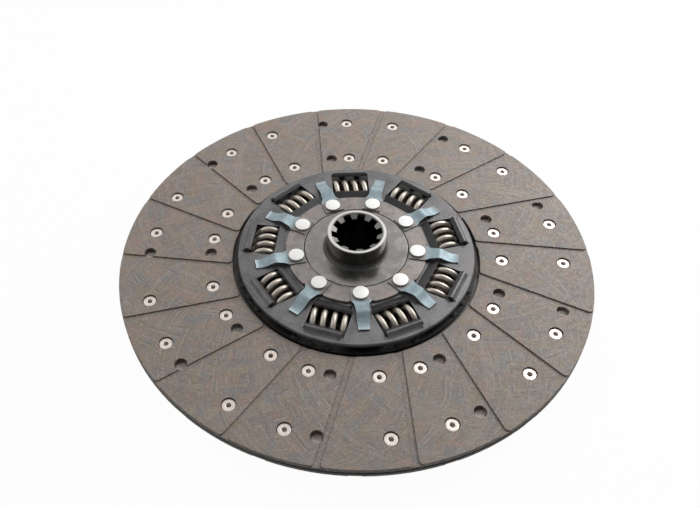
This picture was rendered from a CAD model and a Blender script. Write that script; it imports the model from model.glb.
"""Dresses the clutch disc: finishes, smooth springs and rivets, floor, light and camera.

The disc's axis is Z. Meshes, lights and settings are in metres. A Finish works in
millimetres, and so do the constants that say mm.
"""

import math

import bmesh
import bpy
from bpy.props import FloatProperty, FloatVectorProperty, IntProperty, PointerProperty
from bpy.types import Operator, Panel, PropertyGroup
from mathutils import Matrix, Vector


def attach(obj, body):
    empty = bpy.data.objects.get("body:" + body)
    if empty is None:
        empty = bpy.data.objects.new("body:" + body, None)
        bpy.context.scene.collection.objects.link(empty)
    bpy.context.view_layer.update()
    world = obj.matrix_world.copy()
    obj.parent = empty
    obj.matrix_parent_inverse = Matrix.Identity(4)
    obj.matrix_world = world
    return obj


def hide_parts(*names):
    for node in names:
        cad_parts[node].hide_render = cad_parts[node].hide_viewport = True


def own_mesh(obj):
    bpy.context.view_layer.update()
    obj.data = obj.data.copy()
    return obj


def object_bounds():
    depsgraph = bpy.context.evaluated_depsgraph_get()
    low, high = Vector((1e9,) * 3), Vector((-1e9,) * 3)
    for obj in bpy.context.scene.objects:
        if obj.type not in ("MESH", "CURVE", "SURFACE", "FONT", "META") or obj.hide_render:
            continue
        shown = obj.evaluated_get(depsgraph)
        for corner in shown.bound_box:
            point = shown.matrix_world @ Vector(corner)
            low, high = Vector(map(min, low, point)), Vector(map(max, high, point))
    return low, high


bl_info = {
    "name": "Clutch disc dressing",
    "version": (1, 0, 0),
    "blender": (4, 5, 0),
    "location": "3D View > Sidebar > Clutch disc",
    "description": "Finishes, springs, rivets and studio for a sprung clutch disc",
    "category": "Object",
}

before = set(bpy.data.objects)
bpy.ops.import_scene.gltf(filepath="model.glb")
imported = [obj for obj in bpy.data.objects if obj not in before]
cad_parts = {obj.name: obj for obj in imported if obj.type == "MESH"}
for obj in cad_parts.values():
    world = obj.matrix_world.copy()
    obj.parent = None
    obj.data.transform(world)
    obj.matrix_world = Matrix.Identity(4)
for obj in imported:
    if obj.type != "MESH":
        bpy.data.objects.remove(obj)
CAD_LOW, CAD_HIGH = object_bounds()

MM = 0.001
REPEATS = 9
REPEAT_ANGLE = math.radians(360 / REPEATS)

# Levels and radii of the solids, in mm
FACE_LEVEL = 4.8
GROOVE_FLOOR_LEVEL = 3.6
HUB_FRONT_LEVEL = 34.3
HUB_REAR_LEVEL = -25.7
TOOTH_FRONT_LEVEL = 31.1
TOOTH_REAR_LEVEL = -22.5
BORE_MOUTH_RADIUS = 23.4
TUBE_RADIUS = 25.9
TUBE_ROOT_RADIUS = 29.9
RIVET_CIRCLE = 54.4
RIVET_HEAD_RADIUS = 6.8
PAD_END_RADIUS = 61.5
LEAF_END_RADIUS = 90.8
FACING_INNER_RADIUS = 110.8
FACING_MIDDLE_RADIUS = 160.4
FACING_OUTER_RADIUS = 210.0

# Facing rivets: rows, seats, the bore's rounded mouth and its floor above the tail, in mm
FACING_ROWS = (130.7, 185.5)
HEAD_SEAT_LEVEL = 2.7
SHEET_LEVEL = 0.5
RIVET_MOUTH = 0.5
RIVET_FLOOR = 1.1

# Each group: name, first angle in degrees, tail's seat, side of the heads, closed or hollow
RIVET_GROUPS = (
    ("through", -0.7, -HEAD_SEAT_LEVEL, 1, False),
    ("front", 14.3, SHEET_LEVEL, 1, True),
    ("rear", 22.1, SHEET_LEVEL, -1, True),
)

# Facing yarn: turns laid round the disc, waves in each, and in mm half a wave's height and the
# size of the patches where one way lies on top
YARN_TURNS = 400
YARN_WAVES = 3.4
YARN_REACH = 52.0
YARN_CROSSING = 8.0

# Meshes: sharper edges aren't smoothed, and points nearer than this in metres are one
SHARP_ANGLE = math.radians(35)
MERGE_DISTANCE = 1e-7

# Steps in which round shapes are made
WIRE_SIDES = 16
COIL_STEPS = 30
RIVET_STEPS = 32
ROUNDING_STEPS = 5
TAIL_STEPS = 8

# Finishes: steps between seeds in mm, the part of a cloud of noise that shows, samples for
# an edge, and the cosines between the normals where an edge starts and where it is full
SEED_STEPS = (37.0, 61.0, 13.0)
CLOUD_LOW = 0.3
CLOUD_HIGH = 0.7
EDGE_SAMPLES = 6
EDGE_START = 0.985
EDGE_FULL = 0.86

# Studio: places and sizes in metres, radii in mm of the shaded and of the white floor
KEY_PLACE = (0.66, 0.66, 0.72)
KEY_SIZE = 1.0
FILL_PLACE = (-0.85, 0.10, 0.80)
FILL_SIZE = 0.9
FLOOR_SIZE = 4.0
SHADED_FLOOR_RADIUS = 160.0
WHITE_FLOOR_RADIUS = 203.0

# Where the room's light rises, from -1 in front to 1 behind
ROOM_FRONT = -0.70
ROOM_MIDDLE = 0.50
ROOM_BACK = 0.85

# Camera: focal length and frame in pixels, place and aim in mm
FRAME_WIDTH = 700
FOCAL_LENGTH = 779.78
AXIS_COLUMN = 331.93
CAMERA_PLACE = (-4.95, -468.39, 528.89)
CAMERA_AIM = (-21.82, 3.0, 0.0)
CAMERA_ROLL = math.radians(0.424)
SENSOR_WIDTH = 36.0


# ------------------------ settings


def tint(name, description, colour):
    """A colour setting."""
    return FloatVectorProperty(
        name=name,
        description=description,
        default=colour,
        size=3,
        min=0.0,
        max=1.0,
        subtype="COLOR",
    )


def length(name, description, millimetres):
    """A length setting, given here in millimetres."""
    return FloatProperty(
        name=name,
        description=description,
        default=millimetres * MM,
        min=0.0,
        unit="LENGTH",
        precision=5,
    )


def lamp_power(name, description, watts):
    """A lamp's power, in watts."""
    return FloatProperty(name=name, description=description, default=watts, min=0.0, unit="POWER")


def light_level(name, description, share):
    """A level of the room's light, where 1 is white."""
    return FloatProperty(name=name, description=description, default=share, min=0.0)


class ClutchSprings(PropertyGroup):
    """Sizes of the damper springs."""

    wire: length("Wire", "Diameter of the spring wire", 5.0)
    outside: length("Outside diameter", "Over the coils", 28.4)
    pitch: length("Pitch", "From one turn to the next", 8.9)
    span: length("Length", "Between the ground ends", 34.6)
    circle: length("Circle radius", "From the disc's axis to a spring's own axis", 81.4)
    phase: FloatProperty(
        name="First angle",
        description="Where the first spring stands, from +X",
        default=math.radians(15.1),
        subtype="ANGLE",
    )
    turns: IntProperty(name="Turns", description="Before the ends are ground", default=5, min=1)
    pressed: FloatProperty(
        name="Pressed length",
        description="Share of the length that is left at the twist's limit",
        default=0.79,
        min=0.1,
        max=1.0,
        subtype="FACTOR",
    )
    colour: tint("Steel", "Drawn spring steel", (0.44, 0.40, 0.345))
    scale: tint("Scale", "Brown scale on the wire", (0.20, 0.13, 0.085))


class ClutchFacingRivets(PropertyGroup):
    """Sizes of the hollow rivets in the facings."""

    bore: length("Bore radius", "Hole through the rivet", 2.0)
    shank: length("Shank radius", "Outside of the shank", 2.9)
    head: length("Head radius", "Flange of the rivet", 5.5)
    tail: length("Tail radius", "Rolled end of the rivet", 4.4)
    head_height: length("Head height", "Thickness of the head", 0.9)
    tail_height: length("Tail height", "Thickness of the rolled end", 0.7)
    colour: tint("Plating", "Pale plating of the rivets", (0.67, 0.60, 0.55))


class ClutchFinishes(PropertyGroup):
    """Colours of the finishes."""

    facing: tint("Facing", "Resin and yarn pressed together", (0.245, 0.205, 0.178))
    facing_pink: tint("Copper yarn", "Pinkish brown patches", (0.310, 0.205, 0.165))
    facing_olive: tint("Olive yarn", "Olive brown patches", (0.268, 0.212, 0.142))
    facing_blue: tint("Grey yarn", "Blue grey patches", (0.188, 0.194, 0.200))
    facing_pale: tint("Glass yarn", "Pale strands", (0.430, 0.378, 0.325))
    facing_wall: tint("Burnt edge", "Walls of grooves, pockets and rims", (0.018, 0.015, 0.013))
    dust: tint("Dust", "Worn-off lining that lies in the holes", (0.540, 0.485, 0.435))
    cover: tint("Cover plate", "Phosphated sheet steel", (0.095, 0.092, 0.094))
    cover_bloom: tint("Cover bloom", "Brown bloom on the phosphate", (0.125, 0.112, 0.102))
    hub: tint("Hub", "Oiled, turned steel", (0.118, 0.115, 0.111))
    hub_blush: tint("Hub blush", "Brown film of old oil", (0.235, 0.200, 0.180))
    ring: tint("Clamp ring", "Bare rolled steel", (0.200, 0.184, 0.172))
    ring_pink: tint("Brown patch", "Brown bloom on bare steel", (0.225, 0.170, 0.150))
    ring_grey: tint("Grey patch", "Grey bloom on bare steel", (0.152, 0.164, 0.164))
    zinc: tint("Leaf finger", "Blue zinc plating", (0.200, 0.258, 0.284))
    zinc_stain: tint("Zinc stain", "Olive stain on the plating", (0.225, 0.210, 0.182))
    zinc_rubbed: tint("Rubbed zinc", "Bright edges of the leaves", (0.44, 0.48, 0.50))
    rivet: tint("Hub rivet", "Bright rivet steel", (0.760, 0.755, 0.740))
    drive: tint("Drive plate", "Blackened steel", (0.017, 0.016, 0.015))
    worn_edge: tint("Worn edge", "Edges of the blackened sheets", (0.16, 0.155, 0.15))
    friction: tint("Friction ring", "Pressed composite", (0.06, 0.05, 0.042))
    segment: tint("Cushion segment", "Blued steel under dust", (0.340, 0.310, 0.280))


class ClutchStage(PropertyGroup):
    """Light levels of the studio."""

    key: lamp_power("Key", "Power of the soft box behind", 12.2)
    fill: lamp_power("Fill", "Power of the soft box on the left", 2.5)
    sky: light_level("Surround", "Strength of the room's light", 0.36)
    front: light_level("Front", "What the room still gives on the near side", 0.33)
    back: light_level("Back", "What the room adds low on the far side", 0.8)
    floor: tint("Floor", "Pale floor", (0.86, 0.86, 0.86))


# ------------------------ finishes


class Finish:
    """A node material under construction. Places are in millimetres."""

    def __init__(self, name):
        self.material = bpy.data.materials.new(name)
        self.material.use_nodes = True
        self.tree = self.material.node_tree
        self.surface = self.tree.nodes["Principled BSDF"]
        object_place = self.tree.nodes.new("ShaderNodeTexCoord").outputs["Object"]
        self.place = self.vector("MULTIPLY", object_place, (1 / MM,) * 3)
        self.x, self.y, self.z = self.split(self.place)

    def feed(self, socket, value):
        """Links a socket, or sets the value."""
        if isinstance(value, bpy.types.NodeSocket):
            self.tree.links.new(value, socket)
        else:
            if socket.type == "RGBA" and len(value) == 3:
                value = (*value, 1.0)
            socket.default_value = value

    def split(self, vector):
        """The three parts of a vector."""
        parts = self.tree.nodes.new("ShaderNodeSeparateXYZ")
        self.feed(parts.inputs[0], vector)
        return tuple(parts.outputs)

    def join(self, x, y):
        """A level vector from its parts."""
        whole = self.tree.nodes.new("ShaderNodeCombineXYZ")
        self.feed(whole.inputs[0], x)
        self.feed(whole.inputs[1], y)
        return whole.outputs[0]

    def vector(self, operation, first, second=(0.0, 0.0, 0.0)):
        """A step of vector mathematics."""
        step = self.tree.nodes.new("ShaderNodeVectorMath")
        step.operation = operation
        self.feed(step.inputs[0], first)
        self.feed(step.inputs[1], second)
        return step.outputs["Value" if operation == "DOT_PRODUCT" else "Vector"]

    def calc(self, operation, first, second=0.0):
        """A step of mathematics."""
        step = self.tree.nodes.new("ShaderNodeMath")
        step.operation = operation
        self.feed(step.inputs[0], first)
        self.feed(step.inputs[1], second)
        return step.outputs[0]

    def product(self, *factors):
        """Numbers or masks multiplied."""
        total = factors[0]
        for factor in factors[1:]:
            total = self.calc("MULTIPLY", total, factor)
        return total

    def spread(self, value, low, high, to_low=0.0, to_high=1.0):
        """Maps low..high onto to_low..to_high, held at both ends."""
        step = self.tree.nodes.new("ShaderNodeMapRange")
        step.interpolation_type = "SMOOTHSTEP"
        for socket, number in zip(step.inputs[:5], (value, low, high, to_low, to_high)):
            self.feed(socket, number)
        return step.outputs["Result"]

    def blend(self, share, first, second):
        """Mixes two colours, which have sockets 6, 7 and 2 of their own."""
        step = self.tree.nodes.new("ShaderNodeMix")
        step.data_type = "RGBA"
        self.feed(step.inputs["Factor"], share)
        self.feed(step.inputs[6], first)
        self.feed(step.inputs[7], second)
        return step.outputs[2]

    def noise(self, size, detail, rough=0.5, where=None, warp=0.0):
        """Noise whose lumps are about size millimetres across."""
        step = self.tree.nodes.new("ShaderNodeTexNoise")
        self.feed(step.inputs["Vector"], self.place if where is None else where)
        self.feed(step.inputs["Scale"], 1.0 / size)
        self.feed(step.inputs["Detail"], detail)
        self.feed(step.inputs["Roughness"], rough)
        self.feed(step.inputs["Distortion"], warp)
        return step.outputs["Fac"]

    def shifted(self, seed):
        """Places moved aside, so that a second pattern differs from the first."""
        return self.vector("ADD", self.place, tuple(seed * step for step in SEED_STEPS))

    def warped(self, size, seed):
        """Places pushed about, so that a pattern's borders wander."""
        moved = self.shifted(seed)
        source = self.tree.nodes.new("ShaderNodeTexNoise")
        self.feed(source.inputs["Vector"], moved)
        self.feed(source.inputs["Scale"], 1.0 / size)
        push = self.vector("MULTIPLY", source.outputs["Color"], (size,) * 3)
        return self.vector("ADD", moved, push)

    def mixed(self, share, first, second):
        """Mixes two numbers."""
        step = self.tree.nodes.new("ShaderNodeMix")
        self.feed(step.inputs["Factor"], share)
        self.feed(step.inputs[2], first)
        self.feed(step.inputs[3], second)
        return step.outputs[0]

    def tinted(self, colour, share):
        """A colour that is already a socket, made darker or lighter."""
        return self.vector("MULTIPLY", colour, (share,) * 3)

    def cells(self, size, seed):
        """Random grey value for each cell of a broken pattern with wandering borders."""
        step = self.tree.nodes.new("ShaderNodeTexVoronoi")
        self.feed(step.inputs["Vector"], self.warped(size, seed))
        self.feed(step.inputs["Scale"], 1.0 / size)
        return self.split(step.outputs["Color"])[0]

    def strands(self, patch, long, wide, seed):
        """Short straight strands that lie a different way in each patch."""
        moved = self.shifted(seed)
        angle = self.product(self.cells(patch, seed), 2 * math.pi)
        turn = self.tree.nodes.new("ShaderNodeVectorRotate")
        turn.rotation_type = "Z_AXIS"
        self.feed(turn.inputs["Vector"], moved)
        self.feed(turn.inputs["Angle"], angle)
        stretched = self.vector("MULTIPLY", turn.outputs[0], (1.0 / long, 1.0 / wide, 0.0))
        return self.noise(1.0, 1.0, 0.4, stretched, 0.3)

    def random(self, value):
        """A random share for each whole number."""
        source = self.tree.nodes.new("ShaderNodeTexWhiteNoise")
        source.noise_dimensions = "1D"
        self.feed(source.inputs["W"], value)
        return source.outputs["Value"]

    def flatness(self):
        """1 where the surface lies flat, 0 on an upright wall."""
        return self.calc("ABSOLUTE", self.split(self.geometry("True Normal"))[2])

    def outward(self):
        """1 where the surface looks away from the disc's axis, -1 where it looks at it."""
        spoke = self.vector("NORMALIZE", self.join(self.x, self.y))
        return self.vector("DOT_PRODUCT", self.geometry("True Normal"), spoke)

    def geometry(self, name):
        """An output of the Geometry node."""
        return self.tree.nodes.new("ShaderNodeNewGeometry").outputs[name]

    def distance(self, x, y):
        """Distance from the origin of two coordinates."""
        squares = self.calc("ADD", self.calc("POWER", x, 2.0), self.calc("POWER", y, 2.0))
        return self.calc("SQRT", squares)

    def radius(self):
        """Distance from the disc's axis."""
        return self.distance(self.x, self.y)

    def repeated(self, phase):
        """Place along and across the nearest of nine equal spokes, the first at the given angle."""
        bearing = self.calc("ARCTAN2", self.y, self.x)
        start = self.calc("SUBTRACT", bearing, phase - REPEAT_ANGLE / 2)
        within = self.calc("FLOORED_MODULO", start, REPEAT_ANGLE)
        nearest = self.calc("SUBTRACT", within, REPEAT_ANGLE / 2)
        reach = self.radius()
        along = self.product(reach, self.calc("COSINE", nearest))
        across = self.product(reach, self.calc("SINE", nearest))
        return along, across

    def soft_edges(self, rounding):
        """Normals rounded over the edges, and a mask that is 1 on them."""
        bevel = self.tree.nodes.new("ShaderNodeBevel")
        bevel.samples = EDGE_SAMPLES
        bevel.inputs["Radius"].default_value = rounding * MM
        facing = self.vector("DOT_PRODUCT", bevel.outputs[0], self.geometry("Normal"))
        return bevel.outputs[0], self.spread(facing, EDGE_START, EDGE_FULL)

    def follow(self, cloud, low=0.0, high=1.0):
        """A number that goes from low to high with a cloud of noise."""
        return self.spread(cloud, CLOUD_LOW, CLOUD_HIGH, low, high)

    def clouded(self, cloud, colour, dark, light):
        """A colour that goes from a dark to a light share of itself with a cloud of noise."""
        return self.blend(self.follow(cloud), times(colour, dark), times(colour, light))

    def relief(self, height, depth, normal, strength):
        """Bump from a height, depth in millimetres."""
        bump = self.tree.nodes.new("ShaderNodeBump")
        bump.inputs["Strength"].default_value = strength
        bump.inputs["Distance"].default_value = depth * MM
        self.feed(bump.inputs["Height"], height)
        if normal is not None:
            self.feed(bump.inputs["Normal"], normal)
        return bump.outputs[0]

    def finish(self, colour, rough, metal, normal=None):
        """Feeds the surface and returns the material."""
        self.feed(self.surface.inputs["Base Color"], colour)
        self.feed(self.surface.inputs["Roughness"], rough)
        self.feed(self.surface.inputs["Metallic"], metal)
        if normal is not None:
            self.feed(self.surface.inputs["Normal"], normal)
        return self.material


def times(colour, share):
    """A colour made darker or lighter."""
    return tuple(min(1.0, part * share) for part in colour)


def wound_yarn(paint, hand, seed):
    """Yarn wound to and fro between two circles: a random shade and a ridge for each turn."""
    offset = paint.calc("SUBTRACT", paint.radius(), FACING_MIDDLE_RADIUS)
    sway = paint.calc("ARCSINE", paint.calc("DIVIDE", offset, YARN_REACH))
    bearing = paint.calc("ARCTAN2", paint.y, paint.x)
    around = paint.product(bearing, YARN_TURNS / (2 * math.pi))
    across = paint.product(sway, hand * YARN_TURNS / (2 * math.pi * YARN_WAVES))
    wander = paint.product(paint.noise(24.0, 2.0, where=paint.shifted(seed)), 4.0)
    turn = paint.calc("ADD", paint.calc("ADD", around, across), wander)
    own = paint.calc("FLOORED_MODULO", paint.calc("FLOOR", turn), float(YARN_TURNS))
    shade = paint.random(paint.calc("ADD", own, seed * 1000.0))
    inside = paint.calc("FRACT", turn)
    ridge = paint.calc("PINGPONG", inside, 0.5)
    return shade, paint.product(ridge, 2.0)


def pressed_yarn(colours):
    """Friction facing: wound yarns of several colours pressed in resin, with dark walls."""
    paint = Finish("pressed_yarn")
    cloud = paint.spread(paint.noise(30.0, 3.0), 0.35, 0.65)
    colour = paint.blend(cloud, times(colours.facing, 0.92), times(colours.facing, 1.08))

    # Patches of yarn of other colours
    patches = (
        (13.0, colours.facing_pink, 0.70, 1),
        (11.0, colours.facing_olive, 0.75, 2),
        (14.0, colours.facing_blue, 0.70, 3),
    )
    for size, patch, share, seed in patches:
        lump = paint.noise(size, 3.0, 0.60, paint.shifted(seed))
        colour = paint.blend(paint.spread(lump, 0.50, 0.64, 0.0, share), colour, patch)

    # Two ways of winding, one over the other by turns
    first, first_ridge = wound_yarn(paint, 1, 4)
    second, second_ridge = wound_yarn(paint, -1, 5)
    on_top = paint.spread(paint.cells(YARN_CROSSING, 6), 0.45, 0.55)
    shade = paint.mixed(on_top, first, second)
    ridge = paint.mixed(on_top, first_ridge, second_ridge)
    showing = paint.spread(paint.noise(5.0, 3.0, 0.6, paint.shifted(7)), 0.36, 0.56)
    crest = paint.product(showing, paint.spread(ridge, 0.25, 0.85))
    pale = paint.product(paint.spread(shade, 0.55, 0.90, 0.0, 0.62), crest)
    colour = paint.blend(pale, colour, colours.facing_pale)
    dark = paint.product(paint.spread(shade, 0.42, 0.08, 0.0, 0.60), crest)
    colour = paint.blend(dark, colour, times(colours.facing, 0.50))
    gap = paint.spread(ridge, 0.40, 0.0, 0.0, 0.50)
    colour = paint.blend(paint.product(gap, showing), colour, times(colours.facing, 0.55))

    # Short ends and fluff
    pale_ends = paint.strands(7.0, 4.5, 0.38, 8)
    pale = paint.spread(pale_ends, 0.56, 0.68, 0.0, 0.55)
    colour = paint.blend(pale, colour, times(colours.facing_pale, 1.08))
    dark_ends = paint.strands(6.0, 4.0, 0.42, 9)
    dark = paint.spread(dark_ends, 0.56, 0.70, 0.0, 0.48)
    colour = paint.blend(dark, colour, times(colours.facing, 0.50))
    fluff = paint.spread(paint.noise(0.8, 3.0, 0.65), 0.42, 0.68)
    colour = paint.blend(fluff, paint.tinted(colour, 0.84), paint.tinted(colour, 1.16))

    # Floors of the grooves, and burnt walls
    level = paint.calc("ABSOLUTE", paint.z)
    flat = paint.flatness()
    low = paint.spread(level, FACE_LEVEL - 0.2, GROOVE_FLOOR_LEVEL + 0.2)
    colour = paint.blend(paint.product(low, flat, 0.14), colour, times(colours.facing, 0.72))
    reach = paint.radius()
    rim = paint.spread(reach, FACING_OUTER_RADIUS - 0.7, FACING_OUTER_RADIUS - 0.3)
    bore = paint.spread(reach, FACING_INNER_RADIUS + 0.8, FACING_INNER_RADIUS + 0.4)
    burnt = paint.spread(paint.calc("MAXIMUM", rim, bore), 0.0, 1.0, 0.26, 0.98)
    wall = paint.product(paint.spread(flat, 0.6, 0.2), burnt)
    colour = paint.blend(wall, colour, colours.facing_wall)

    height = paint.calc("ADD", ridge, paint.product(pale_ends, 2.0))
    pits = paint.spread(paint.noise(1.3, 4.0, 0.65), 0.28, 0.42)
    normal, edge = paint.soft_edges(0.3)
    colour = paint.blend(paint.product(edge, 0.15), colour, colours.facing_pale)
    rough = paint.follow(paint.noise(3.0, 3.0), 0.48, 0.64)
    height = paint.calc("ADD", height, pits)
    return paint.finish(colour, rough, 0.0, paint.relief(height, 0.09, normal, 0.55))


def phosphated_sheet(colours):
    """Cover plates: dark grey phosphate with blotches, scratches and rubbed edges."""
    paint = Finish("phosphated_sheet")
    cloud = paint.noise(16.0, 5.0, 0.6)
    grain = paint.noise(0.9, 4.0, 0.7)
    colour = paint.clouded(cloud, colours.cover, 0.68, 1.36)
    bloom = paint.spread(paint.noise(9.0, 4.0, 0.6, paint.shifted(2)), 0.52, 0.70, 0.0, 0.40)
    colour = paint.blend(bloom, colour, colours.cover_bloom)
    light = paint.spread(grain, 0.46, 0.70, 0.0, 0.60)
    colour = paint.blend(light, colour, times(colours.cover, 2.1))
    scratch = paint.spread(paint.strands(22.0, 14.0, 0.16, 3), 0.67, 0.75, 0.0, 0.55)
    colour = paint.blend(scratch, colour, times(colours.cover, 2.8))
    normal, edge = paint.soft_edges(0.6)
    rubbed = paint.product(edge, paint.spread(cloud, 0.30, 0.65, 0.12, 0.60))
    colour = paint.blend(rubbed, colour, times(colours.cover, 2.8))
    hollow = paint.spread(paint.outward(), -0.05, -0.28, 0.0, 0.85)
    colour = paint.blend(hollow, colour, times(colours.cover, 0.12))
    rough = paint.follow(cloud, 0.36, 0.52)
    return paint.finish(colour, rough, 0.60, paint.relief(grain, 0.05, normal, 0.5))


def turned_steel(colours):
    """Hub: rings from the lathe, a ground collar, bright ends, and a bore that goes dark."""
    paint = Finish("turned_steel")
    reach = paint.radius()
    lathe = paint.join(paint.product(reach, 2.4), paint.product(paint.z, 2.4))
    rings = paint.noise(1.0, 2.0, 0.5, lathe)
    cloud = paint.noise(11.0, 4.0, 0.55)
    colour = paint.blend(cloud, times(colours.hub, 0.72), times(colours.hub, 1.25))
    colour = paint.blend(paint.spread(rings, 0.35, 0.7, 0.0, 0.22), colour, times(colours.hub, 1.5))
    blush = paint.spread(paint.noise(7.0, 3.0, 0.5, paint.shifted(4)), 0.52, 0.70, 0.0, 0.35)
    colour = paint.blend(blush, colour, colours.hub_blush)
    collar = paint.spread(reach, TUBE_ROOT_RADIUS - 1.1, TUBE_ROOT_RADIUS + 0.3)
    colour = paint.blend(collar, colour, paint.tinted(colour, 1.40))
    root = paint.product(
        paint.spread(reach, TUBE_RADIUS + 0.08, TUBE_RADIUS + 0.6),
        paint.spread(reach, TUBE_ROOT_RADIUS + 0.5, TUBE_ROOT_RADIUS - 0.9),
    )
    colour = paint.blend(paint.product(root, 0.85), colour, times(colours.hub, 0.30))
    normal, edge = paint.soft_edges(0.4)
    colour = paint.blend(paint.product(edge, 0.5), colour, times(colours.hub, 2.2))
    front_end = paint.spread(paint.z, HUB_FRONT_LEVEL - 0.7, HUB_FRONT_LEVEL - 0.3)
    rear_end = paint.spread(paint.z, HUB_REAR_LEVEL + 0.7, HUB_REAR_LEVEL + 0.3)
    rim = paint.spread(reach, BORE_MOUTH_RADIUS - 0.2, BORE_MOUTH_RADIUS)
    end_face = paint.product(paint.calc("MAXIMUM", front_end, rear_end), rim)
    inside = paint.spread(reach, BORE_MOUTH_RADIUS + 0.1, BORE_MOUTH_RADIUS - 0.2)
    front_mouth = paint.spread(paint.z, TOOTH_FRONT_LEVEL - 0.5, TOOTH_FRONT_LEVEL + 0.1)
    rear_mouth = paint.spread(paint.z, TOOTH_REAR_LEVEL + 0.5, TOOTH_REAR_LEVEL - 0.1)
    tooth_end = paint.product(inside, paint.calc("MAXIMUM", front_mouth, rear_mouth))
    colour = paint.blend(paint.product(inside, 0.90), colour, times(colours.hub, 0.16))
    grain = paint.noise(1.1, 4.0, 0.7)
    cut = paint.blend(grain, times(colours.hub, 0.7), times(colours.hub, 2.0))
    colour = paint.blend(tooth_end, colour, cut)
    colour = paint.blend(end_face, colour, times(colours.hub, 3.5))
    speck = paint.spread(paint.noise(0.8, 3.0, 0.6), 0.62, 0.75, 0.0, 0.30)
    colour = paint.blend(speck, colour, times(colours.hub, 0.45))
    rough = paint.follow(cloud, 0.20, 0.30)
    rough = paint.mixed(root, rough, 0.45)
    rough = paint.mixed(paint.calc("MAXIMUM", tooth_end, end_face), rough, 0.5)
    metal = paint.spread(paint.calc("ABSOLUTE", paint.z), 12.0, 24.0, 0.9, 0.97)
    return paint.finish(colour, rough, metal, paint.relief(rings, 0.012, normal, 0.4))


def bare_steel(paint, colours):
    """Colour and grain of bare rolled steel with brown and grey patches."""
    cloud = paint.noise(8.0, 5.0, 0.6, warp=0.6)
    grain = paint.noise(0.8, 4.0, 0.7)
    colour = paint.clouded(cloud, colours.ring, 0.70, 1.25)
    pink = paint.spread(paint.noise(14.0, 3.0, 0.5, paint.shifted(1)), 0.50, 0.66, 0.0, 0.50)
    colour = paint.blend(pink, colour, colours.ring_pink)
    grey = paint.spread(paint.noise(11.0, 3.0, 0.5, paint.shifted(2)), 0.52, 0.66, 0.0, 0.50)
    colour = paint.blend(grey, colour, colours.ring_grey)
    dark = paint.spread(grain, 0.50, 0.72, 0.0, 0.45)
    colour = paint.blend(dark, colour, times(colours.ring, 0.50))
    return colour, grain, cloud


def rolled_steel(colours):
    """Clamp rings: bare steel with a pinkish brown bloom."""
    paint = Finish("rolled_steel")
    colour, grain, cloud = bare_steel(paint, colours)
    normal, edge = paint.soft_edges(0.5)
    colour = paint.blend(paint.product(edge, 0.45), colour, times(colours.ring, 1.6))
    rough = paint.follow(cloud, 0.38, 0.55)
    return paint.finish(colour, rough, 0.6, paint.relief(grain, 0.04, normal, 0.5))


def blue_zinc(colours, phase):
    """Leaf fingers: bare pads under the rivets, and leaves of blue zinc with rubbed ends."""
    paint = Finish("blue_zinc")
    bare, grain, worn_cloud = bare_steel(paint, colours)
    along, across = paint.repeated(phase)
    lengthwise = paint.join(paint.product(along, 0.12), paint.product(across, 2.2))
    drawn = paint.noise(1.0, 3.0, 0.6, lengthwise)
    cloud = paint.noise(7.0, 4.0, 0.6)
    colour = paint.clouded(cloud, colours.zinc, 0.76, 1.18)
    streak = paint.spread(drawn, 0.35, 0.7, 0.0, 0.35)
    colour = paint.blend(streak, colour, times(colours.zinc, 1.4))
    stain = paint.spread(paint.noise(4.5, 4.0, 0.6, paint.shifted(3)), 0.54, 0.72, 0.0, 0.50)
    colour = paint.blend(stain, colour, colours.zinc_stain)
    normal, edge = paint.soft_edges(0.3)
    bearing = paint.spread(along, LEAF_END_RADIUS - 4.8, LEAF_END_RADIUS, 0.0, 0.35)
    rubbed = paint.calc("MAXIMUM", paint.product(edge, 0.6), bearing)
    colour = paint.blend(rubbed, colour, colours.zinc_rubbed)
    ragged = paint.calc("ADD", paint.radius(), paint.product(worn_cloud, 3.0))
    leaf = paint.spread(ragged, PAD_END_RADIUS + 0.5, PAD_END_RADIUS + 4.0)
    colour = paint.blend(leaf, bare, colour)
    rough = paint.follow(drawn, 0.40, 0.54)
    height = paint.mixed(leaf, grain, drawn)
    return paint.finish(colour, rough, 0.55, paint.relief(height, 0.03, normal, 0.5))


def upset_steel(colours, phase):
    """Hub rivets: flat bright heads with faint rings and a few dents from the setting tool."""
    paint = Finish("upset_steel")
    along, across = paint.repeated(phase)
    own = paint.distance(paint.calc("SUBTRACT", along, RIVET_CIRCLE), across)
    rings = paint.noise(0.45, 2.0, 0.5, paint.join(own, 0.0))
    cloud = paint.noise(4.0, 4.0, 0.6)
    colour = paint.blend(cloud, times(colours.rivet, 0.88), times(colours.rivet, 1.08))
    speck = paint.spread(paint.noise(0.9, 3.0, 0.6), 0.62, 0.76, 0.0, 0.35)
    colour = paint.blend(speck, colour, times(colours.rivet, 0.60))
    rim = paint.spread(own, RIVET_HEAD_RADIUS - 0.5, RIVET_HEAD_RADIUS + 0.1, 0.0, 0.45)
    colour = paint.blend(rim, colour, times(colours.rivet, 0.40))
    normal = paint.soft_edges(0.4)[0]
    height = paint.calc("ADD", rings, paint.product(cloud, 1.2))
    rough = paint.follow(cloud, 0.34, 0.5)
    return paint.finish(colour, rough, 0.35, paint.relief(height, 0.05, normal, 0.5))


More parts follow.
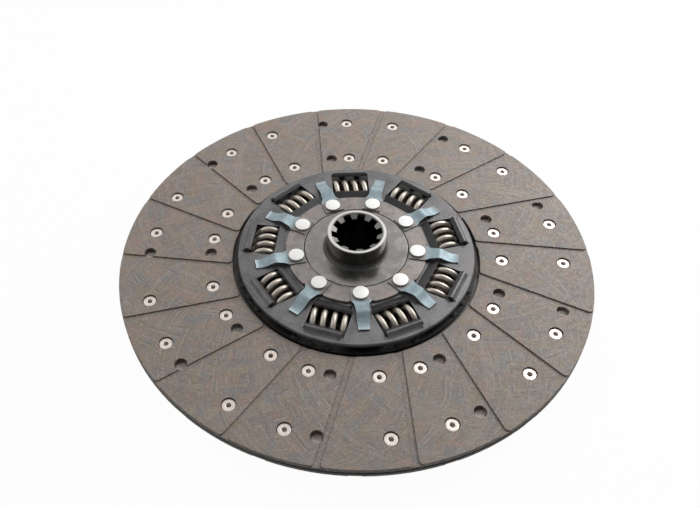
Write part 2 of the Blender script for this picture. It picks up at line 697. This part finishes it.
def spring_steel(springs):
    """Damper springs: brownish drawn wire with a thin film of oil."""
    paint = Finish("spring_steel")
    cloud = paint.noise(6.0, 4.0, 0.6)
    drawn = paint.noise(0.5, 3.0, 0.6)
    colour = paint.blend(cloud, times(springs.colour, 0.72), times(springs.colour, 1.22))
    dark = paint.spread(drawn, 0.5, 0.72, 0.0, 0.4)
    colour = paint.blend(dark, colour, times(springs.colour, 0.5))
    scale = paint.spread(paint.noise(3.2, 4.0, 0.65), 0.56, 0.70, 0.0, 0.35)
    colour = paint.blend(scale, colour, springs.scale)
    paint.surface.inputs["Coat Weight"].default_value = 0.25
    paint.surface.inputs["Coat Roughness"].default_value = 0.22
    rough = paint.follow(cloud, 0.30, 0.46)
    return paint.finish(colour, rough, 0.65, paint.relief(drawn, 0.03, None, 0.4))


def dusty_steel(name, colours, colour, dust, metal):
    """Blackened or blued sheet under a share of dust, sooty inside the facings' bore."""
    paint = Finish(name)
    cloud = paint.noise(12.0, 4.0, 0.6)
    settled = paint.spread(paint.noise(2.4, 4.0, 0.7), 0.40, 0.70, dust * 0.5, dust)
    shade = paint.blend(cloud, times(colour, 0.65), times(colour, 1.4))
    shade = paint.blend(settled, shade, colours.dust)
    normal, edge = paint.soft_edges(0.4)
    shade = paint.blend(paint.product(edge, 0.35), shade, colours.worn_edge)
    reach = paint.radius()
    sooty = paint.spread(reach, FACING_INNER_RADIUS + 2.0, FACING_INNER_RADIUS + 0.8, 0.0, 0.90)
    shade = paint.blend(sooty, shade, times(colour, 0.06))
    grain = paint.noise(0.8, 4.0, 0.7)
    rough = paint.follow(cloud, 0.46, 0.64)
    return paint.finish(shade, rough, metal, paint.relief(grain, 0.04, normal, 0.5))


def plated_rivet(rivets, colours):
    """Facing rivets: pale satin plating with faint stains, and dusty tails down in the holes."""
    paint = Finish("plated_rivet")
    cloud = paint.noise(3.0, 4.0, 0.6)
    colour = paint.blend(cloud, times(rivets.colour, 0.80), times(rivets.colour, 1.10))
    stain = paint.spread(paint.noise(1.1, 3.0), 0.58, 0.72, 0.0, 0.35)
    colour = paint.blend(stain, colour, times(rivets.colour, 0.55))
    level = paint.calc("ABSOLUTE", paint.z)
    dust = paint.spread(level, HEAD_SEAT_LEVEL - 0.2, HEAD_SEAT_LEVEL - 0.7)
    colour = paint.blend(dust, colour, colours.dust)
    rough = paint.mixed(dust, paint.follow(cloud, 0.30, 0.48), 0.75)
    metal = paint.mixed(dust, 0.6, 0.0)
    return paint.finish(colour, rough, metal, paint.relief(cloud, 0.05, None, 0.4))


def dress(prefix, material):
    """Gives the material to every solid whose name starts so."""
    found = [solid for name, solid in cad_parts.items() if name.startswith(prefix)]
    if not found:
        raise RuntimeError(f"no solid is named {prefix}")
    for solid in found:
        for place in solid.material_slots:
            place.material = material


# ------------------------ mesh helpers


def new_object(name, data):
    """Adds an object to the scene."""
    item = bpy.data.objects.new(name, data)
    bpy.context.scene.collection.objects.link(item)
    return item


def new_piece(name, shape, material, body):
    """Turns a finished bmesh into a piece that rides on a body."""
    bmesh.ops.recalc_face_normals(shape, faces=shape.faces)
    mesh = bpy.data.meshes.new(name)
    shape.to_mesh(mesh)
    shape.free()
    for face in mesh.polygons:
        face.use_smooth = True
    mesh.set_sharp_from_angle(angle=SHARP_ANGLE)
    mesh.materials.append(material)
    piece = new_object(name, mesh)
    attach(piece, body)
    return piece


def turned_shape(outline, steps):
    """A bmesh spun once round Z from a closed outline of (radius, level) points."""
    shape = bmesh.new()
    corners = [shape.verts.new((radius, 0.0, level)) for radius, level in outline]
    edges = [shape.edges.new(pair) for pair in zip(corners, corners[1:] + corners[:1])]
    bmesh.ops.spin(
        shape,
        geom=corners + edges,
        cent=(0, 0, 0),
        axis=(0, 0, 1),
        angle=2 * math.pi,
        steps=steps,
        use_merge=True,
    )
    bmesh.ops.remove_doubles(shape, verts=shape.verts, dist=MERGE_DISTANCE)
    on_axis = [edge for edge in shape.edges if edge.is_wire]
    bmesh.ops.delete(shape, geom=on_axis, context="EDGES")
    return shape


def spread_copies(shape, places):
    """Copies everything in the bmesh to each place, and deletes the first."""
    first_corners = shape.verts[:]
    first = first_corners + shape.edges[:] + shape.faces[:]
    for place in places:
        copied = bmesh.ops.duplicate(shape, geom=first)
        corners = [part for part in copied["geom"] if isinstance(part, bmesh.types.BMVert)]
        bmesh.ops.transform(shape, matrix=place, verts=corners)
    bmesh.ops.delete(shape, geom=first_corners, context="VERTS")


def arc(centre, radius, start, end, steps):
    """Points of an arc, angles in degrees from the outward direction towards +Z."""
    points = []
    for index in range(steps + 1):
        angle = math.radians(start + (end - start) * index / steps)
        points.append((centre[0] + radius * math.cos(angle), centre[1] + radius * math.sin(angle)))
    return points


# ------------------------ operators


def finger_phase(context):
    """The angle of the first leaf finger, half way between two springs."""
    return context.scene.clutch_springs.phase + REPEAT_ANGLE / 2


class CLUTCH_OT_facings(Operator):
    """Finishes the two friction facings"""

    bl_idname = "clutch_disc.facings"
    bl_label = "Finish facings"

    def execute(self, context):
        colours = context.scene.clutch_finishes
        dress("facing_front", pressed_yarn(colours))
        dress("facing_rear", pressed_yarn(colours))
        return {"FINISHED"}


class CLUTCH_OT_segments(Operator):
    """Finishes the waved segments and their rivets"""

    bl_idname = "clutch_disc.segments"
    bl_label = "Finish segments"

    def execute(self, context):
        colours = context.scene.clutch_finishes
        blued = dusty_steel("blued_segment", colours, colours.segment, 0.7, 0.1)
        dress("cushion_segment", blued)
        rivet = dusty_steel("blackened_rivet", colours, times(colours.drive, 2.0), 0.35, 0.5)
        dress("segment_rivets", rivet)
        return {"FINISHED"}


class CLUTCH_OT_hub(Operator):
    """Finishes the splined hub"""

    bl_idname = "clutch_disc.hub"
    bl_label = "Finish hub"

    def execute(self, context):
        dress("hub", turned_steel(context.scene.clutch_finishes))
        return {"FINISHED"}


class CLUTCH_OT_hub_rivets(Operator):
    """Finishes the nine rivets round the hub"""

    bl_idname = "clutch_disc.hub_rivets"
    bl_label = "Finish hub rivets"

    def execute(self, context):
        colours = context.scene.clutch_finishes
        dress("hub_rivets", upset_steel(colours, finger_phase(context)))
        return {"FINISHED"}


class CLUTCH_OT_covers(Operator):
    """Finishes the front and rear cover plates"""

    bl_idname = "clutch_disc.covers"
    bl_label = "Finish covers"

    def execute(self, context):
        dress("cover_plate", phosphated_sheet(context.scene.clutch_finishes))
        return {"FINISHED"}


class CLUTCH_OT_clamp_rings(Operator):
    """Finishes the rings under the leaf fingers"""

    bl_idname = "clutch_disc.clamp_rings"
    bl_label = "Finish clamp rings"

    def execute(self, context):
        dress("clamp_ring", rolled_steel(context.scene.clutch_finishes))
        return {"FINISHED"}


class CLUTCH_OT_leaf_fingers(Operator):
    """Finishes the leaf fingers that press on the covers"""

    bl_idname = "clutch_disc.leaf_fingers"
    bl_label = "Finish leaf fingers"

    def execute(self, context):
        colours = context.scene.clutch_finishes
        dress("leaf_finger", blue_zinc(colours, finger_phase(context)))
        return {"FINISHED"}


class CLUTCH_OT_inner_plates(Operator):
    """Finishes the drive plates and the friction rings"""

    bl_idname = "clutch_disc.inner_plates"
    bl_label = "Finish inner plates"

    def execute(self, context):
        colours = context.scene.clutch_finishes
        dress("drive_plate", dusty_steel("blackened_plate", colours, colours.drive, 0.30, 0.5))
        dress("friction_ring", dusty_steel("friction_ring", colours, colours.friction, 0.2, 0.0))
        return {"FINISHED"}


class CLUTCH_OT_springs(Operator):
    """Makes the nine damper springs with round wire and ground ends"""

    bl_idname = "clutch_disc.springs"
    bl_label = "Make springs"

    def execute(self, context):
        sizes = context.scene.clutch_springs
        material = spring_steel(sizes)
        coil = (sizes.outside - sizes.wire) / 2
        swept = sizes.turns * sizes.pitch
        steps = sizes.turns * COIL_STEPS
        lead = math.atan(sizes.pitch / (2 * math.pi * coil))
        half = sizes.span / 2
        for index in range(REPEATS):
            shape = bmesh.new()
            section = bmesh.ops.create_circle(
                shape, cap_ends=False, radius=sizes.wire / 2, segments=WIRE_SIDES
            )
            start = Matrix.Translation((sizes.circle, -swept / 2, coil))
            lean = Matrix.Rotation(lead, 4, "Z")
            upright = Matrix.Rotation(math.pi / 2, 4, "Y")
            bmesh.ops.transform(shape, matrix=start @ lean @ upright, verts=section["verts"])
            bmesh.ops.spin(
                shape,
                geom=shape.verts[:] + shape.edges[:],
                cent=(sizes.circle, -swept / 2, 0),
                axis=(0, 1, 0),
                dvec=(0, swept / steps, 0),
                angle=2 * math.pi * sizes.turns,
                steps=steps,
            )
            for side in (-1, 1):
                bmesh.ops.bisect_plane(
                    shape,
                    geom=shape.verts[:] + shape.edges[:] + shape.faces[:],
                    plane_co=(0, side * half, 0),
                    plane_no=(0, side, 0),
                    clear_outer=True,
                )
            loose = [edge for edge in shape.edges if edge.is_boundary]
            bmesh.ops.holes_fill(shape, edges=loose, sides=0)
            angle = sizes.phase + index * REPEAT_ANGLE
            turn = Matrix.Rotation(angle, 3, "Z")
            bmesh.ops.rotate(shape, verts=shape.verts, cent=(0, 0, 0), matrix=turn)
            name = f"coil_spring_{index + 1}"
            piece = new_piece(name, shape, material, "hub_body")
            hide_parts(f"damper_spring_{index + 1}")
            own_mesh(piece)
        return {"FINISHED"}


class CLUTCH_OT_facing_rivets(Operator):
    """Makes the hollow rivets of the facings, with rounded heads and rolled tails"""

    bl_idname = "clutch_disc.facing_rivets"
    bl_label = "Make facing rivets"

    def execute(self, context):
        sizes = context.scene.clutch_facing_rivets
        material = plated_rivet(sizes, context.scene.clutch_finishes)
        for name, station, tail_seat, hand, closed in RIVET_GROUPS:
            section = self.outline(sizes, HEAD_SEAT_LEVEL * MM, tail_seat * MM, closed)
            shape = turned_shape(section, RIVET_STEPS)
            if hand < 0:
                bmesh.ops.scale(shape, vec=(1, 1, -1), verts=shape.verts)
            places = []
            for row in FACING_ROWS:
                for index in range(REPEATS):
                    turn = Matrix.Rotation(math.radians(station) + index * REPEAT_ANGLE, 4, "Z")
                    places.append(turn @ Matrix.Translation((row * MM, 0, 0)))
            spread_copies(shape, places)
            piece = new_piece(
                f"hollow_rivets_{name}", shape, material, "disc_body"
            )
            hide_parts(f"facing_rivets_{name}")
        return {"FINISHED"}

    def outline(self, sizes, seat, tail_seat, closed):
        """Half of a rivet's section: rounded head, rolled tail, and a bore, which may be closed."""
        top = seat + sizes.head_height
        bottom = tail_seat - sizes.tail_height
        edge = sizes.head_height * 0.42
        mouth = RIVET_MOUTH * MM
        floor = bottom + RIVET_FLOOR * MM
        roll = sizes.tail_height / 2
        points = [(sizes.shank, seat), (sizes.head, seat)]
        points += arc((sizes.head - edge, top - edge), edge, 0, 90, ROUNDING_STEPS)
        points += arc((sizes.bore + mouth, top - mouth), mouth, 90, 180, ROUNDING_STEPS)
        if closed:
            points += [(sizes.bore, floor), (0.0, floor), (0.0, bottom + roll)]
        points += arc((sizes.bore + roll, bottom + roll), roll, 180, 270, ROUNDING_STEPS)
        points += arc((sizes.tail - roll, bottom + roll), roll, 270, 450, TAIL_STEPS)
        points += [(sizes.shank, tail_seat)]
        return points


class CLUTCH_OT_stage(Operator):
    """Makes the floor, the soft lights, the surround and the camera"""

    bl_idname = "clutch_disc.stage"
    bl_label = "Make stage"

    def execute(self, context):
        levels = context.scene.clutch_stage
        self.make_floor(levels)
        self.make_surround(context, levels)
        self.make_light("key", levels.key, KEY_PLACE, KEY_SIZE)
        self.make_light("fill", levels.fill, FILL_PLACE, FILL_SIZE)
        self.make_camera(context)
        context.scene.view_settings.view_transform = "Standard"
        return {"FINISHED"}

    def joined(self, tree, operation, first, second):
        """Two sockets put through one step of mathematics."""
        step = tree.nodes.new("ShaderNodeMath")
        step.operation = operation
        tree.links.new(first, step.inputs[0])
        tree.links.new(second, step.inputs[1])
        return step.outputs[0]

    def mapped(self, tree, value, span, levels):
        """A socket mapped from a span onto two levels, and held there."""
        step = tree.nodes.new("ShaderNodeMapRange")
        tree.links.new(value, step.inputs["Value"])
        for socket, number in zip(step.inputs[1:5], span + levels):
            socket.default_value = number
        return step

    def seen_directly(self, tree):
        """1 for rays from the camera, and for rays off or through the object."""
        path = tree.nodes.new("ShaderNodeLightPath").outputs
        seen = self.joined(tree, "MAXIMUM", path["Is Camera Ray"], path["Is Glossy Ray"])
        return self.joined(tree, "MAXIMUM", seen, path["Is Transmission Ray"])

    def make_floor(self, levels):
        """A pale floor that glows white beyond the disc, and keeps its shade under it."""
        shape = bmesh.new()
        bmesh.ops.create_grid(shape, x_segments=2, y_segments=2, size=FLOOR_SIZE)
        bmesh.ops.translate(shape, verts=shape.verts, vec=(0, 0, CAD_LOW.z))
        mesh = bpy.data.meshes.new("floor")
        shape.to_mesh(mesh)
        shape.free()
        floor = new_object("floor", mesh)
        paint = Finish("pale_floor")
        grain = paint.noise(1.5, 3.0)
        colour = paint.blend(grain, times(levels.floor, 0.97), levels.floor)
        paint.finish(colour, 0.9, 0.0)
        glow = paint.tree.nodes.new("ShaderNodeEmission")
        glow.inputs["Strength"].default_value = 1.0
        share = self.seen_directly(paint.tree)
        reach = paint.radius()
        open_floor = paint.spread(reach, SHADED_FLOOR_RADIUS, WHITE_FLOOR_RADIUS, 0.0, 0.97)
        mixer = paint.tree.nodes.new("ShaderNodeMixShader")
        paint.feed(mixer.inputs[0], paint.product(share, open_floor))
        paint.feed(mixer.inputs[1], paint.surface.outputs[0])
        paint.feed(mixer.inputs[2], glow.outputs[0])
        paint.feed(paint.tree.nodes["Material Output"].inputs["Surface"], mixer.outputs[0])
        mesh.materials.append(paint.material)

    def make_surround(self, context, levels):
        """A white room that gives less light in front, and looks evenly white to the camera."""
        world = bpy.data.worlds.new("surround")
        world.use_nodes = True
        context.scene.world = world
        tree = world.node_tree
        place = tree.nodes.new("ShaderNodeTexCoord").outputs["Generated"]
        parts = tree.nodes.new("ShaderNodeSeparateXYZ")
        tree.links.new(place, parts.inputs[0])
        away = parts.outputs["Y"]
        turned = self.mapped(tree, away, (ROOM_FRONT, ROOM_MIDDLE), (levels.front, 1.0))
        turned.interpolation_type = "SMOOTHSTEP"
        glow = self.mapped(tree, away, (ROOM_MIDDLE, ROOM_BACK), (0.0, levels.back))
        light = self.joined(tree, "ADD", turned.outputs[0], glow.outputs[0])
        camera_ray = tree.nodes.new("ShaderNodeLightPath").outputs["Is Camera Ray"]
        shown = self.joined(tree, "MAXIMUM", light, camera_ray)
        strength = self.mapped(tree, self.seen_directly(tree), (0.0, 1.0), (levels.sky, 1.0))
        total = self.joined(tree, "MULTIPLY", shown, strength.outputs[0])
        room = tree.nodes["Background"]
        room.inputs["Color"].default_value = (1, 1, 1, 1)
        tree.links.new(total, room.inputs["Strength"])

    def make_light(self, name, watts, place, size):
        """A round soft box that looks at the origin."""
        lamp = bpy.data.lights.new(name, "AREA")
        lamp.shape = "DISK"
        lamp.size = size
        lamp.energy = watts
        light = new_object(name, lamp)
        light.location = place
        light.rotation_euler = (-Vector(place)).to_track_quat("-Z", "Y").to_euler()

    def make_camera(self, context):
        """The camera, level but for a slight roll, with the disc's axis left of the middle."""
        lens = bpy.data.cameras.new("camera")
        lens.sensor_fit = "HORIZONTAL"
        lens.sensor_width = SENSOR_WIDTH
        lens.lens = FOCAL_LENGTH * SENSOR_WIDTH / FRAME_WIDTH
        lens.shift_x = 0.5 - AXIS_COLUMN / FRAME_WIDTH
        lens.clip_start = 0.05
        lens.clip_end = 50.0
        camera = new_object("camera", lens)
        place = Vector(CAMERA_PLACE) * MM
        ahead = Vector(CAMERA_AIM) * MM - place
        turn = ahead.to_track_quat("-Z", "Y").to_matrix().to_4x4()
        roll = Matrix.Rotation(CAMERA_ROLL, 4, "Z")
        camera.matrix_world = Matrix.Translation(place) @ turn @ roll
        context.scene.camera = camera


class CLUTCH_PT_sidebar(Panel):
    """Lists the settings and the steps"""

    bl_label = "Clutch disc"
    bl_idname = "CLUTCH_PT_sidebar"
    bl_space_type = "VIEW_3D"
    bl_region_type = "UI"
    bl_category = "Clutch disc"

    def draw(self, context):
        for step in STEPS:
            self.layout.operator(step.bl_idname)
        for name in SETTINGS:
            box = self.layout.box()
            group = getattr(context.scene, name)
            for key in group.bl_rna.properties.keys():
                if key not in ("rna_type", "name"):
                    box.prop(group, key)


SETTINGS = {
    "clutch_springs": ClutchSprings,
    "clutch_facing_rivets": ClutchFacingRivets,
    "clutch_finishes": ClutchFinishes,
    "clutch_stage": ClutchStage,
}
STEPS = (
    CLUTCH_OT_facings,
    CLUTCH_OT_segments,
    CLUTCH_OT_hub,
    CLUTCH_OT_hub_rivets,
    CLUTCH_OT_covers,
    CLUTCH_OT_clamp_rings,
    CLUTCH_OT_leaf_fingers,
    CLUTCH_OT_inner_plates,
    CLUTCH_OT_springs,
    CLUTCH_OT_facing_rivets,
    CLUTCH_OT_stage,
)


def register():
    """Adds the settings, the steps and the panel."""
    for group in SETTINGS.values():
        bpy.utils.register_class(group)
    for step in STEPS:
        bpy.utils.register_class(step)
    bpy.utils.register_class(CLUTCH_PT_sidebar)
    for name, group in SETTINGS.items():
        setattr(bpy.types.Scene, name, PointerProperty(type=group))


def unregister():
    """Takes them away again."""
    for name in SETTINGS:
        delattr(bpy.types.Scene, name)
    bpy.utils.unregister_class(CLUTCH_PT_sidebar)
    for step in reversed(STEPS):
        bpy.utils.unregister_class(step)
    for group in reversed(SETTINGS.values()):
        bpy.utils.unregister_class(group)


def main():
    """Dresses the disc."""
    register()
    bpy.ops.clutch_disc.facings()
    bpy.ops.clutch_disc.segments()
    bpy.ops.clutch_disc.hub()
    bpy.ops.clutch_disc.hub_rivets()
    bpy.ops.clutch_disc.covers()
    bpy.ops.clutch_disc.clamp_rings()
    bpy.ops.clutch_disc.leaf_fingers()
    bpy.ops.clutch_disc.inner_plates()
    bpy.ops.clutch_disc.springs()
    bpy.ops.clutch_disc.facing_rivets()
    bpy.ops.clutch_disc.stage()


if __name__ == "__main__":
    main()
